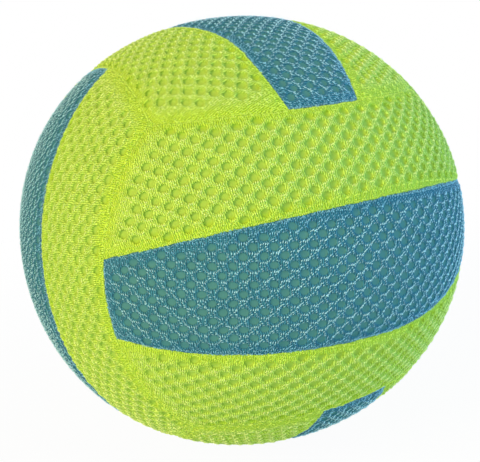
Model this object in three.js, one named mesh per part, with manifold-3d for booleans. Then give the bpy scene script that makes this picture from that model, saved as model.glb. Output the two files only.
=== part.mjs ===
// Soft mesh ball: eighteen crowned panels of thick spacer mesh, sewn edge to edge over a rubber bladder with a
// needle valve. Millimetres, +Z up, the ball's centre at the origin, standing on its bottom blue panel.
import * as THREE from "three";
import { mergeVertices } from "three/addons/utils/BufferGeometryUtils.js";
import Module from "manifold-3d";

// The ball as a whole
const BALL_RADIUS = 105; // mean radius of the cover
const CORNER_FULLNESS = 0.0233; // how much fuller the ball is where three groups meet, as a share of the radius
const HEIGHT_SETTLING = 0.038; // how much the soft ball settles under its weight, as a share of the radius
const REST_FLAT_RADIUS = 20; // half width of the flat that it stands on

// The cover: spacer mesh, its seams rolled down and turned in
const BLUE_HALF_ANGLE = 14.12; // degrees from a group's middle line to its blue strip's edge
const COVER_THICKNESS = 3.8;
const SEAM_DEPTH = 1.8; // how far the face rolls down into a seam
const SEAM_ROLL = 6; // width of the roll beside a seam
const SEAM_GAP = 0.3; // between two neighbouring panels
const HEM_DEPTH = 7; // how far the turned-in seam allowance reaches below the face
const HEM_WIDTH = 3; // thickness of the turned-in, doubled edge
const ALONG_SPANS = 12;
const ACROSS_SPANS = 4;

// The bladder
const BLADDER_WALL = 0.9;
const BLADDER_ROWS = 12;
const BLADDER_SIDES = 28;

// The valve, on the +Y axis in the middle of the back blue panel
const CORE_RADIUS = 2.3;
const CORE_BEAD = 0.8; // how far the core's bead stands out into the housing's groove
const CORE_BEAD_LENGTH = 3;
const NEEDLE_HOLE_RADIUS = 0.9;
const NEEDLE_HOLE_DEPTH = 12;
const HOUSING_WALL = 2.6;
const HOUSING_LENGTH = 20; // from the collar's face to the inner end
const COLLAR_RECESS = 0.4; // how far the collar lies below the cover's face
const FLANGE_RADIUS = 14;
const FLANGE_THICKNESS = 1.6;
const VALVE_SIDES = 24;
const SEAT_CLEARANCE = 0.3; // between a piece and what it is seated on

// Finishes
const LIME_MESH = { color: 0xaed84a, roughness: 0.85, metalness: 0 };
const BLUE_MESH = { color: 0x3d8796, roughness: 0.85, metalness: 0 };
const BLADDER_RUBBER = { color: 0x2a2a2c, roughness: 0.6, metalness: 0 };
const HOUSING_RUBBER = { color: 0x1d1d1f, roughness: 0.7, metalness: 0 };
const CORE_RUBBER = { color: 0x34343a, roughness: 0.5, metalness: 0 };

// A group's edges are the planes through the corners of the cube inside the ball
const CORNER = 1 / Math.sqrt(3);
const HALF_GAP = SEAM_GAP / 2 / BALL_RADIUS;
const X = new THREE.Vector3(1, 0, 0);
const Y = new THREE.Vector3(0, 1, 0);
const Z = new THREE.Vector3(0, 0, 1);

// Radius of the cover's face in a direction, as a share of the mean radius
function fullness(direction) {
  const { x, y, z } = direction;
  const cubic = x ** 4 + y ** 4 + z ** 4 - 3 / 5;
  return 1 - CORNER_FULLNESS * cubic - HEIGHT_SETTLING * (z * z - 1 / 3);
}

// A point so deep below the cover's face, before the ball is set down
function hangingPoint(direction, depth) {
  return direction.clone().multiplyScalar(BALL_RADIUS * fullness(direction) - depth);
}

const flatTilt = Math.asin(REST_FLAT_RADIUS / BALL_RADIUS);
const REST_HEIGHT = -hangingPoint(new THREE.Vector3(Math.sin(flatTilt), 0, -Math.cos(flatTilt)), 0).z;

// The same point with the ball standing on its flat
function ballPoint(direction, depth) {
  const point = hangingPoint(direction, depth);
  point.z = Math.max(point.z, depth - REST_HEIGHT);
  return point;
}

// One group of three strips: n points out of it, l runs along its strips and w across them
function groupFrame(n, l) {
  return { n, l, w: new THREE.Vector3().crossVectors(n, l) };
}

// Direction at an angle along the strips and an angle across them
function directionAt({ n, l, w }, along, across) {
  return new THREE.Vector3()
    .addScaledVector(n, Math.cos(across) * Math.cos(along))
    .addScaledVector(l, Math.cos(across) * Math.sin(along))
    .addScaledVector(w, Math.sin(across));
}

// The angle across at which a strip's low and high edges run, half a seam gap inside the seam
function stripEdges(strip, along) {
  const seam = Math.atan(Math.tan(THREE.MathUtils.degToRad(BLUE_HALF_ANGLE)) * Math.cos(along));
  const outer = Math.asin(CORNER);
  const low = [-outer, -seam, seam][strip + 1];
  const high = [-seam, seam, outer][strip + 1];
  return [low + HALF_GAP, high - HALF_GAP];
}

// The angle along at which a group ends, half a seam gap inside the plane through the corners
function groupEnd(across) {
  const plane = CORNER + Math.sin(Math.acos(CORNER)) * HALF_GAP;
  return Math.acos(plane / Math.cos(across));
}

// Stations from one edge of a panel to the other: a share of the width and an inset in millimetres.
// The roll beside each edge has stations of its own, which belong to the plain station at that edge.
function stations(spans) {
  const inner = (k) => ({ share: k / spans, inset: SEAM_ROLL * (1 - (2 * k) / spans), plain: k });
  const list = [
    { share: 0, inset: 0, plain: 0 },
    { share: 0, inset: SEAM_ROLL * 0.3, plain: 0 },
  ];
  for (let k = 0; k <= spans; k++) list.push(inner(k));
  list.push({ share: 1, inset: -SEAM_ROLL * 0.3, plain: spans });
  list.push({ share: 1, inset: 0, plain: spans });
  return list;
}

// The plain stations alone, the outer two moved in by an inset
function plainStations(spans, inset) {
  const list = [{ share: 0, inset }];
  for (let k = 1; k < spans; k++) list.push({ share: k / spans, inset: SEAM_ROLL * (1 - (2 * k) / spans) });
  list.push({ share: 1, inset: -inset });
  return list;
}

// Where two stations cross on a strip: the angle along depends on the angle across and the other way round
function crossing(strip, alongStation, acrossStation) {
  let along = 0;
  let across = 0;
  for (let pass = 0; pass < 12; pass++) {
    const [low, high] = stripEdges(strip, along);
    across = low + (high - low) * acrossStation.share + acrossStation.inset / BALL_RADIUS;
    const end = groupEnd(across);
    along = end * (2 * alongStation.share - 1) + alongStation.inset / (BALL_RADIUS * Math.cos(across));
  }
  return { along, across };
}

// How far the face has rolled down at a place on a strip: a quarter ellipse beside every edge
function rollDepth(strip, { along, across }) {
  const [low, high] = stripEdges(strip, along);
  const side = BALL_RADIUS * Math.min(across - low, high - across);
  const end = BALL_RADIUS * Math.cos(across) * (groupEnd(across) - Math.abs(along));
  const fromRoll = (distance) => Math.max(0, 1 - distance / SEAM_ROLL);
  const reach = Math.min(1, Math.hypot(fromRoll(side), fromRoll(end)));
  return SEAM_DEPTH * (1 - Math.sqrt(1 - reach * reach));
}

// Grid of points over a strip at the depth that depthAt gives, with the loop of points round its border
function panelSheet(frame, strip, alongStations, acrossStations, depthAt, points) {
  const rows = alongStations.map((alongStation) =>
    acrossStations.map((acrossStation) => {
      const place = crossing(strip, alongStation, acrossStation);
      points.push(ballPoint(directionAt(frame, place.along, place.across), depthAt(place)));
      return points.length - 1;
    }),
  );
  const last = rows.length - 1;
  const edge = rows[0].length - 1;
  const loop = [];
  for (let i = 0; i < last; i++) loop.push([i, 0]);
  for (let j = 0; j < edge; j++) loop.push([last, j]);
  for (let i = last; i > 0; i--) loop.push([i, edge]);
  for (let j = edge; j > 0; j--) loop.push([0, j]);
  return { rows, loop };
}

// Faces over a grid of points, out of the ball or into it
function coverGrid({ rows }, outward, faces) {
  for (let i = 0; i + 1 < rows.length; i++) {
    for (let j = 0; j + 1 < rows[i].length; j++) {
      const [a, b, c, d] = [rows[i][j], rows[i + 1][j], rows[i + 1][j + 1], rows[i][j + 1]];
      if (outward) faces.push([a, b, c], [a, c, d]);
      else faces.push([a, c, b], [a, d, c]);
    }
  }
}

// Faces between a sheet's border and the border of the sheet below it, whose stations plainOf finds
function joinBorders(upper, lower, plainOf, faces) {
  const top = upper.loop.map(([i, j]) => upper.rows[i][j]);
  const foot = upper.loop.map(([i, j]) => {
    const [p, q] = plainOf(i, j);
    return lower.rows[p][q];
  });
  top.forEach((point, k) => {
    const next = (k + 1) % top.length;
    faces.push([point, foot[k], top[next]]);
    if (foot[k] !== foot[next]) faces.push([top[next], foot[k], foot[next]]);
  });
}

function geometryOf(points, faces) {
  const geometry = new THREE.BufferGeometry().setFromPoints(points);
  geometry.setIndex(faces.flat());
  return geometry;
}

// One panel: a crowned face that rolls down at its edges, the turned-in hem all round and the hollow back
function panelGeometry(frame, strip) {
  const points = [];
  const faces = [];
  const along = stations(ALONG_SPANS);
  const across = stations(ACROSS_SPANS);
  const plain = (inset) => [plainStations(ALONG_SPANS, inset), plainStations(ACROSS_SPANS, inset)];
  const sheet = (lines, depthAt) => panelSheet(frame, strip, ...lines, depthAt, points);
  const same = (i, j) => [i, j];

  const face = sheet([along, across], (place) => rollDepth(strip, place));
  const wallFoot = sheet(plain(0), () => HEM_DEPTH);
  const hemFoot = sheet(plain(HEM_WIDTH), () => HEM_DEPTH);
  const back = sheet(plain(HEM_WIDTH), () => COVER_THICKNESS);

  coverGrid(face, true, faces);
  joinBorders(face, wallFoot, (i, j) => [along[i].plain, across[j].plain], faces);
  joinBorders(wallFoot, hemFoot, same, faces);
  joinBorders(hemFoot, back, same, faces);
  coverGrid(back, false, faces);
  return dropUnused(points, faces);
}

// The geometry with only the points that its faces use
function dropUnused(points, faces) {
  const kept = new Map();
  const number = (index) => {
    if (!kept.has(index)) kept.set(index, kept.size);
    return kept.get(index);
  };
  const renumbered = faces.map((corners) => corners.map(number));
  return geometryOf([...kept.keys()].map((index) => points[index]), renumbered);
}

// Heights of the valve's seats along +Y
const longestSpan = (2 * Math.acos(CORNER) * BALL_RADIUS) / ALONG_SPANS;
const HEM_SAG = longestSpan ** 2 / (8 * BALL_RADIUS); // how far a straight facet of the hem dips inwards
const BLADDER_DEPTH = HEM_DEPTH + HEM_SAG + SEAT_CLEARANCE;
const COVER_TOP = ballPoint(Y, 0).y;
const BLADDER_TOP = COVER_TOP - BLADDER_DEPTH;
const BORE_RADIUS = CORE_RADIUS + SEAT_CLEARANCE;
const BARREL_RADIUS = BORE_RADIUS + HOUSING_WALL;
const COVER_HOLE_RADIUS = BARREL_RADIUS + SEAT_CLEARANCE;
const COLLAR_TOP = COVER_TOP - COLLAR_RECESS;
const HOUSING_END = COLLAR_TOP - HOUSING_LENGTH;

// How far the bladder's outside lies below its top at a distance from the valve's axis
function bladderDrop(radius) {
  return BLADDER_TOP - Math.sqrt(BLADDER_TOP ** 2 - radius ** 2);
}

// The bladder: a thin shell about the valve's axis, open at its neck
function bladderGeometry() {
  const neck = Math.asin(COVER_HOLE_RADIUS / BLADDER_TOP);
  const seat = Math.asin(FLANGE_RADIUS / BLADDER_TOP);
  const angles = [neck];
  for (let k = 0; k <= BLADDER_ROWS; k++) angles.push(seat + ((Math.PI - seat) * k) / BLADDER_ROWS);
  const ring = (angle, depth) => {
    const radius = BALL_RADIUS - depth;
    const atFarPole = angle === angles.at(-1);
    return new THREE.Vector2(atFarPole ? 0 : radius * Math.sin(angle), radius * Math.cos(angle));
  };
  const outside = angles.map((angle) => ring(angle, BLADDER_DEPTH)).reverse();
  const inside = angles.map((angle) => ring(angle, BLADDER_DEPTH + BLADDER_WALL));
  const shell = new THREE.LatheGeometry([...outside, ...inside], BLADDER_SIDES);
  const place = shell.attributes.position;
  for (let k = 0; k < place.count; k++) {
    const point = new THREE.Vector3().fromBufferAttribute(place, k);
    const depth = BALL_RADIUS - point.length();
    place.setXYZ(k, ...ballPoint(point.normalize(), depth).toArray());
  }
  return shell;
}

// The core's bead and the housing's groove share their middle height
const BEAD_MIDDLE = COLLAR_TOP - HOUSING_LENGTH * 0.6;

// The valve housing: collar in the cover's hole, flange on the bladder, barrel through its neck, grooved bore
function housingGeometry() {
  const flangeTop = BLADDER_TOP + SEAT_CLEARANCE + FLANGE_THICKNESS;
  const flangeFoot = BLADDER_TOP + SEAT_CLEARANCE;
  const rim = bladderDrop(FLANGE_RADIUS);
  const root = bladderDrop(COVER_HOLE_RADIUS);
  const groove = CORE_BEAD_LENGTH / 2 + SEAT_CLEARANCE;
  const grooveRadius = BORE_RADIUS + CORE_BEAD;
  const outline = [
    [BORE_RADIUS, HOUSING_END],
    [BARREL_RADIUS - 0.8, HOUSING_END],
    [BARREL_RADIUS, HOUSING_END + 1.5],
    [BARREL_RADIUS, flangeFoot - root],
    [FLANGE_RADIUS, flangeFoot - rim],
    [FLANGE_RADIUS, flangeFoot - rim + FLANGE_THICKNESS * 0.4],
    [BARREL_RADIUS + 1.5, flangeTop - root],
    [BARREL_RADIUS, flangeTop + 0.6],
    [BARREL_RADIUS, COLLAR_TOP - 0.5],
    [BARREL_RADIUS - 0.5, COLLAR_TOP],
    [BORE_RADIUS + 0.6, COLLAR_TOP],
    [BORE_RADIUS, COLLAR_TOP - 0.6],
    [BORE_RADIUS, BEAD_MIDDLE + groove + CORE_BEAD],
    [grooveRadius, BEAD_MIDDLE + groove],
    [grooveRadius, BEAD_MIDDLE - groove],
    [BORE_RADIUS, BEAD_MIDDLE - groove - CORE_BEAD],
    [BORE_RADIUS, HOUSING_END],
  ];
  return new THREE.LatheGeometry(outline.map(([r, y]) => new THREE.Vector2(r, y)), VALVE_SIDES);
}

// The valve core: a plug with a bead that snaps into the housing's groove, and a blind hole for the needle
function coreGeometry() {
  const top = COLLAR_TOP - 0.8;
  const bead = CORE_BEAD_LENGTH / 2;
  const outline = [
    [0, HOUSING_END + 0.5],
    [CORE_RADIUS * 0.6, HOUSING_END + 0.5],
    [CORE_RADIUS, HOUSING_END + 2.5],
    [CORE_RADIUS, BEAD_MIDDLE - bead - CORE_BEAD],
    [CORE_RADIUS + CORE_BEAD, BEAD_MIDDLE - bead],
    [CORE_RADIUS + CORE_BEAD, BEAD_MIDDLE + bead],
    [CORE_RADIUS, BEAD_MIDDLE + bead + CORE_BEAD],
    [CORE_RADIUS, top - 0.3],
    [CORE_RADIUS - 0.3, top],
    [NEEDLE_HOLE_RADIUS + 0.5, top],
    [NEEDLE_HOLE_RADIUS, top - 0.8],
    [NEEDLE_HOLE_RADIUS, top - NEEDLE_HOLE_DEPTH],
    [0, top - NEEDLE_HOLE_DEPTH - NEEDLE_HOLE_RADIUS],
  ];
  return new THREE.LatheGeometry(outline.map(([r, y]) => new THREE.Vector2(r, y)), VALVE_SIDES);
}

// A closed geometry as a solid for cutting
function solidOf(wasm, geometry) {
  const bare = geometry.clone().deleteAttribute("normal").deleteAttribute("uv");
  const merged = mergeVertices(bare, 1e-3);
  const vertProperties = merged.attributes.position.array;
  return new wasm.Manifold(new wasm.Mesh({ numProp: 3, vertProperties, triVerts: new Uint32Array(merged.index.array) }));
}

// The cover's round hole, cut where the valve's collar comes through
function withValveHole(wasm, geometry) {
  const length = 2 * (COVER_THICKNESS + SEAM_DEPTH);
  const drill = new THREE.CylinderGeometry(COVER_HOLE_RADIUS, COVER_HOLE_RADIUS, length, VALVE_SIDES);
  drill.translate(0, COVER_TOP - COVER_THICKNESS / 2, 0);
  const cut = solidOf(wasm, geometry).subtract(solidOf(wasm, drill)).getMesh();
  const result = new THREE.BufferGeometry();
  result.setAttribute("position", new THREE.BufferAttribute(cut.vertProperties, 3));
  result.setIndex(new THREE.BufferAttribute(cut.triVerts, 1));
  return result;
}

// The side of the ball that an axis points to
function sideName(axis) {
  if (axis.x) return axis.x < 0 ? "left" : "right";
  if (axis.y) return axis.y < 0 ? "front" : "back";
  return axis.z < 0 ? "lower" : "upper";
}

function addPiece(group, name, geometry, finish) {
  const piece = new THREE.Mesh(geometry, new THREE.MeshStandardMaterial(finish));
  piece.name = name;
  group.add(piece);
}

// Three strips, the middle one blue
function addStrips(cover, wasm, name, n, l) {
  const frame = groupFrame(n, l);
  for (const strip of [-1, 1]) {
    const side = sideName(frame.w.clone().multiplyScalar(strip));
    addPiece(cover, `${name}_${side}_lime_panel`, panelGeometry(frame, strip), LIME_MESH);
  }
  const blue = panelGeometry(frame, 0);
  addPiece(cover, `${name}_blue_panel`, n === Y ? withValveHole(wasm, blue) : blue, BLUE_MESH);
}

const wasm = await Module();
wasm.setup();

const cover = new THREE.Group();
addStrips(cover, wasm, "front", Y.clone().negate(), X);
addStrips(cover, wasm, "back", Y, X);
addStrips(cover, wasm, "top", Z, Y);
addStrips(cover, wasm, "bottom", Z.clone().negate(), Y);
addStrips(cover, wasm, "left", X.clone().negate(), Z);
addStrips(cover, wasm, "right", X, Z);

const inside = new THREE.Group();
addPiece(inside, "bladder", bladderGeometry(), BLADDER_RUBBER);
addPiece(inside, "valve_housing", housingGeometry(), HOUSING_RUBBER);
addPiece(inside, "valve_core", coreGeometry(), CORE_RUBBER);

const ball = new THREE.Group();
ball.add(cover, inside);

export default ball;
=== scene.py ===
"""Looks of a soft mesh ball: knitted spacer-mesh panels, air bladder, rubber valve, studio and camera.

Each panel is cut as flat cloth about the middle line of its own strip and laid on the ball with its edges
rolled down into the seams. Geometry Nodes sink a hole into every diamond of its net and lay the stitches on
its lands. Metres, +Z up, the ball's centre at the origin.
"""
import logging
import math
from dataclasses import dataclass, field
from enum import Enum

import bmesh
import bpy
import numpy as np
from mathutils import Matrix, Vector
from mathutils.geometry import delaunay_2d_cdt


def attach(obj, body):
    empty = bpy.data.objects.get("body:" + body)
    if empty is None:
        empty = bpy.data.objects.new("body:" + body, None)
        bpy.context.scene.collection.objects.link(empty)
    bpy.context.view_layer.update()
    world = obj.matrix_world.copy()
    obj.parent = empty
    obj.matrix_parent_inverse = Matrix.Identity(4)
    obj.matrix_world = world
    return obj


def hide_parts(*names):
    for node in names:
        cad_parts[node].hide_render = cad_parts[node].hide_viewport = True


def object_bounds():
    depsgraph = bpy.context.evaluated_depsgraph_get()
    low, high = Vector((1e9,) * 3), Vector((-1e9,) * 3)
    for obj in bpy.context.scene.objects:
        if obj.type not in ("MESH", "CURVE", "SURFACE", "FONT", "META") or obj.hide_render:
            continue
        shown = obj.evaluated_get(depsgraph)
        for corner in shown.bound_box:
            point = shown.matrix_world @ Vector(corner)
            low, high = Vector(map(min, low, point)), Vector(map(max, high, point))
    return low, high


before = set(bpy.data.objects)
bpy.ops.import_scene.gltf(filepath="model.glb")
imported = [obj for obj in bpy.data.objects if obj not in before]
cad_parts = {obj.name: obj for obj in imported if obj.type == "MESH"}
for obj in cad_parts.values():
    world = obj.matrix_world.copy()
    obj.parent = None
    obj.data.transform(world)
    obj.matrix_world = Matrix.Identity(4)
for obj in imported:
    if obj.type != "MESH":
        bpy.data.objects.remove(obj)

Array = np.ndarray
Node = bpy.types.Node
Socket = bpy.types.NodeSocket
Material = bpy.types.Material
Piece = bpy.types.Object
Colour = tuple[int, int, int]
Pair = tuple[float, float]
Triple = tuple[float, float, float]
LOG = logging.getLogger("mesh_ball")
MM = 0.001
BODY = "root"
WHITE = (1.0, 1.0, 1.0, 1.0)


def box_now() -> list[list[float]]:
    """Returns the lowest and highest corner of everything that shows."""
    return [[float(value) for value in corner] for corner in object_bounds()]


CAD_BOX = box_now()


def placed(name: str, data: bpy.types.ID) -> Piece:
    """Makes an object and links it to the scene.

    Args:
        name: the object's name.
        data: its mesh, lamp or camera.

    Returns:
        The object.
    """
    piece = bpy.data.objects.new(name, data)
    bpy.context.scene.collection.objects.link(piece)
    return piece


# Shape of the ball and of its strips


@dataclass(frozen=True)
class BallShape:
    """Settled form of the whole ball, which every layer follows."""

    # Means over a sphere, taken off so that the mean radius stays: of the fourth powers' sum and of a square
    FOURTHS_MEAN = 3 / 5
    SQUARE_MEAN = 1 / 3

    radius: float
    rest_height: float
    corner_fullness: float = 0.0233
    height_settling: float = 0.038

    @classmethod
    def from_box(cls, box: list[list[float]]) -> "BallShape":
        """Returns the ball whose width and rest height a box gives by its lowest and highest corner."""
        share = cls(1.0, 1.0).fullness(np.array([[1.0, 0.0, 0.0]]))[0]
        return cls((box[1][0] - box[0][0]) / 2 / share, -box[0][2])

    def fullness(self, directions: Array) -> Array:
        """Gives the face's radius along some unit vectors, as shares of the mean radius."""
        corners = self.corner_fullness * ((directions**4).sum(axis=1) - self.FOURTHS_MEAN)
        return 1 - corners - self.height_settling * (directions[:, 2] ** 2 - self.SQUARE_MEAN)

    def points(self, directions: Array, depths: Array) -> Array:
        """Lays points on the ball.

        Args:
            directions: unit vectors from the centre, one a row.
            depths: how far below the face each point lies.

        Returns:
            The points, with the ball standing on its flat.
        """
        points = directions * (self.radius * self.fullness(directions) - depths)[:, None]
        points[:, 2] = np.maximum(points[:, 2], np.maximum(depths, 0) - self.rest_height)
        return points


@dataclass(frozen=True)
class Axes:
    """Directions of a group of strips: out of the ball, along the strips and across them."""

    out: Array
    run: Array
    side: Array

    def tilted(self, angle: float) -> "Axes":
        """Turns the axes about the run, so that out points at an angle across the group."""
        cos, sin = math.cos(angle), math.sin(angle)
        return Axes(cos * self.out + sin * self.side, self.run, cos * self.side - sin * self.out)

    def directions(self, along: Array, across: Array) -> Array:
        """Gives the unit vectors at some angles along and across."""
        ring = np.cos(along)[:, None] * self.out + np.sin(along)[:, None] * self.run
        return np.cos(across)[:, None] * ring + np.sin(across)[:, None] * self.side

    def angles(self, directions: Array) -> tuple[Array, Array]:
        """Gives the angles along and across of some unit vectors."""
        along = np.arctan2(directions @ self.run, directions @ self.out)
        return along, np.arcsin(np.clip(directions @ self.side, -1, 1))


class Group(Enum):
    """The six groups of strips: the way out of the ball and the run of the strips."""

    FRONT = ((0, -1, 0), (1, 0, 0))
    BACK = ((0, 1, 0), (1, 0, 0))
    TOP = ((0, 0, 1), (0, 1, 0))
    BOTTOM = ((0, 0, -1), (0, 1, 0))
    LEFT = ((-1, 0, 0), (0, 0, 1))
    RIGHT = ((1, 0, 0), (0, 0, 1))

    @property
    def axes(self) -> Axes:
        """The group's right-handed axes."""
        out, run = (np.array(vector, float) for vector in self.value)
        return Axes(out, run, np.cross(out, run))


class Strip(Enum):
    """The strips of a group, by their place across it."""

    LOW = -1
    MIDDLE = 0
    HIGH = 1


SIDE_NAMES = (("left", "right"), ("front", "back"), ("lower", "upper"))


def side_name(axis: Array) -> str:
    """Names the side of the ball that an axis points to."""
    place = int(np.abs(axis).argmax())
    return SIDE_NAMES[place][int(axis[place] > 0)]


@dataclass(frozen=True)
class Stray:
    """Place where a seam between two strips strays across its group, in degrees."""

    angle: float = 0.0
    place: float = 0.0
    reach: float = 1.0

    def at(self, along: Array) -> Array:
        """Gives how far the seam strays at some angles along, all in radians."""
        angle, place, reach = map(math.radians, (self.angle, self.place, self.reach))
        return angle * np.exp(-(((along - place) / reach) ** 2))


TRUE_SEAMS = (Stray(), Stray())
# The low and the high seam of the groups whose sewing strays
STRAYS = {
    Group.FRONT: (Stray(-1.45, 17, 19), Stray()),
    Group.TOP: (Stray(), Stray(-1.7, -28, 15)),
    Group.BOTTOM: (Stray(3, -35, 25), Stray(3, -45, 22)),
}
# Way in which a group's rows of painted glints lead, 1 rising and -1 falling, and the place along where it
# changes to that; the knots' stitches turn the same way
USUAL_LEAN = (1, -60 * MM)
LEANS = {Group.TOP: (-1, -60 * MM), Group.LEFT: (-1, 0.0)}
# Turn in degrees and bow of the grain of the panels that the photograph shows best
GRAINS = {
    "front_blue_panel": (-5.7, 0.0),
    "front_upper_lime_panel": (1.2, 0.0),
    "front_lower_lime_panel": (-5.5, 0.0),
    "left_front_lime_panel": (3.5, -1.8),
    "left_blue_panel": (2.5, 0.0),
    "top_blue_panel": (2.0, 0.0),
    "top_left_lime_panel": (-1.5, 0.0),
    "top_right_lime_panel": (4.5, 0.0),
    "bottom_left_lime_panel": (-4.0, 0.0),
}
LARGEST_TURN = 5


@dataclass(frozen=True)
class StripOutline:
    """Edges of one strip: two seams along it and the group's ends across it."""

    # Distance of the group's edge planes from the centre of a ball of radius one
    CORNER = 1 / math.sqrt(3)
    SOLVING_ROUNDS = 12

    ball: BallShape
    strip: Strip
    strays: tuple[Stray, Stray]
    blue_half_angle: float = math.radians(14.12)
    seam_gap: float = 0.01 * MM

    @property
    def half_gap(self) -> float:
        """Half a seam's gap as an angle."""
        return self.seam_gap / 2 / self.ball.radius

    @property
    def middle_angle(self) -> float:
        """Angle across the group of the strip's own middle line."""
        return self.strip.value * (self.blue_half_angle + math.asin(self.CORNER)) / 2

    def seams(self, along: Array) -> tuple[Array, Array]:
        """Gives the angles across of the strip's low and high edge.

        Args:
            along: angles along the group.

        Returns:
            The low and the high edge, each half a gap inside its seam.
        """
        seam = np.arctan(math.tan(self.blue_half_angle) * np.cos(along))
        outer = np.full_like(seam, math.asin(self.CORNER))
        low_stray, high_stray = (stray.at(along) for stray in self.strays)
        lines = (-outer, low_stray - seam, high_stray + seam, outer)
        low, high = lines[self.strip.value + 1], lines[self.strip.value + 2]
        return low + self.half_gap, high - self.half_gap

    def end(self, across: Array) -> Array:
        """Gives the angle along at which the group ends, for some angles across."""
        plane = self.CORNER + math.sin(math.acos(self.CORNER)) * self.half_gap
        return np.arccos(np.clip(plane / np.cos(across), -1, 1))

    def crossing(self, along_share: Array, across_share: Array, inset: float) -> tuple[Array, Array]:
        """Finds where lines along and across the strip meet.

        Args:
            along_share: shares of the way from one end of the strip to the other.
            across_share: shares of the way from its low to its high edge.
            inset: how far the outermost lines lie inside the edges.

        Returns:
            Angles along and across the group.
        """
        along = np.zeros_like(along_share)
        across = np.zeros_like(along_share)
        for _ in range(self.SOLVING_ROUNDS):
            low, high = self.seams(along)
            across = low + (high - low) * across_share + inset * (1 - 2 * across_share) / self.ball.radius
            reach = inset * (1 - 2 * along_share) / (self.ball.radius * np.cos(across))
            along = self.end(across) * (2 * along_share - 1) + reach
        return along, across

    def distances(self, along: Array, across: Array) -> tuple[Array, Array]:
        """Measures how far places on the strip are from its edges.

        Args:
            along: angles along the group.
            across: angles across it.

        Returns:
            Distances from the nearer long edge and from the nearer end, negative outside.
        """
        low, high = self.seams(along)
        side = self.ball.radius * np.minimum(across - low, high - across)
        end = self.ball.radius * np.cos(across) * (self.end(across) - np.abs(along))
        return side, end


# Finishes


def linear(colour: Colour) -> tuple[float, float, float, float]:
    """Turns a colour as the eye sees it, from 0 to 255, into the shader's linear colour by the sRGB curve.

    Args:
        colour: red, green and blue.

    Returns:
        The linear colour with an alpha of one.
    """
    shares = [value / 255 for value in colour]
    curve = [s / 12.92 if s <= 0.04045 else ((s + 0.055) / 1.055) ** 2.4 for s in shares]
    return (*curve, 1.0)


class NodeGraph:
    """Adds and links the nodes of one shader or geometry tree."""

    def __init__(self, tree: bpy.types.NodeTree) -> None:
        """Starts afresh on a tree."""
        tree.nodes.clear()
        self.tree = tree

    def add(self, kind: str, inputs: dict[str, object] | None = None, **settings: object) -> Node:
        """Adds a node.

        Args:
            kind: the node's type name.
            inputs: values or sockets for its inputs, by identifier.
            settings: the node's own properties.

        Returns:
            The node.
        """
        node = self.tree.nodes.new(kind)
        for name, value in settings.items():
            setattr(node, name, value)
        sockets = {socket.identifier: socket for socket in node.inputs}
        for name, value in (inputs or {}).items():
            if isinstance(value, Socket):
                self.tree.links.new(value, sockets[name])
            else:
                sockets[name].default_value = value
        return node

    def get(self, kind: str, inputs: dict[str, object] | None = None, output: int | str = 0,
            **settings: object) -> Socket:
        """Adds a node and returns one of its outputs, by place or name."""
        return self.add(kind, inputs, **settings).outputs[output]

    def math(self, operation: str, *values: object) -> Socket:
        """Adds a Math node and returns its result."""
        inputs = dict(zip(("Value", "Value_001", "Value_002"), values))
        return self.get("ShaderNodeMath", inputs, operation=operation)

    def product(self, first: object, *others: object) -> Socket:
        """Multiplies numbers from the left.

        Args:
            first: the first number or socket.
            others: the ones that it is multiplied by, in order.

        Returns:
            The product.
        """
        for value in others:
            first = self.math("MULTIPLY", first, value)
        return first

    def about(self, middle: float, noise: Socket, spread: float) -> Socket:
        """Returns a noise from 0 to 1 spread evenly about a value."""
        return self.math("MULTIPLY_ADD", noise, spread, middle - spread / 2)

    def vector(self, operation: str, *values: object, output: str = "Vector") -> Socket:
        """Adds a Vector Math node and returns its vector, or the number that output names."""
        inputs = dict(zip(("Vector", "Vector_001"), values))
        return self.get("ShaderNodeVectorMath", inputs, output, operation=operation)

    def number(self, operation: str, *values: object) -> Socket:
        """Adds a Vector Math node and returns its number, such as a length."""
        return self.vector(operation, *values, output="Value")

    def scaled(self, vector: object, scale: object) -> Socket:
        """Returns a vector times a number."""
        return self.get("ShaderNodeVectorMath", {"Vector": vector, "Scale": scale}, operation="SCALE")

    def combined(self, *values: object) -> Socket:
        """Returns the vector of some numbers."""
        return self.get("ShaderNodeCombineXYZ", dict(zip("XYZ", values)))

    def ramp(self, value: object, start: float, stop: float) -> Socket:
        """Returns a smooth step from 0 at start to 1 at stop."""
        inputs = {"Value": value, "From Min": start, "From Max": stop}
        return self.get("ShaderNodeMapRange", inputs, interpolation_type="SMOOTHSTEP")

    def noise(self, place: object, scale: float, detail: float, output: str = "Fac") -> Socket:
        """Returns a noise over some places."""
        return self.get("ShaderNodeTexNoise", {"Vector": place, "Scale": scale, "Detail": detail}, output)

    def drift(self, place: object, scale: float, detail: float) -> Socket:
        """Returns a noise of vectors that swings about zero."""
        return self.vector("SUBTRACT", self.noise(place, scale, detail, "Color"), (0.5, 0.5, 0.5))

    def mix(self, share: object, first: object, second: object) -> Socket:
        """Mixes two colours and returns the result."""
        inputs = {"Factor_Float": share, "A_Color": first, "B_Color": second}
        return self.get("ShaderNodeMix", inputs, 2, data_type="RGBA")

    def attribute(self, name: str, output: str) -> Socket:
        """Reads a named attribute of the shaded mesh."""
        return self.get("ShaderNodeAttribute", output=output, attribute_name=name)

    def position(self) -> Socket:
        """Reads the places of a geometry's points."""
        return self.get("GeometryNodeInputPosition")

    def moved(self, geometry: Socket, offset: Socket) -> Socket:
        """Shifts a geometry's points."""
        return self.get("GeometryNodeSetPosition", {"Geometry": geometry, "Offset": offset})


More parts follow.
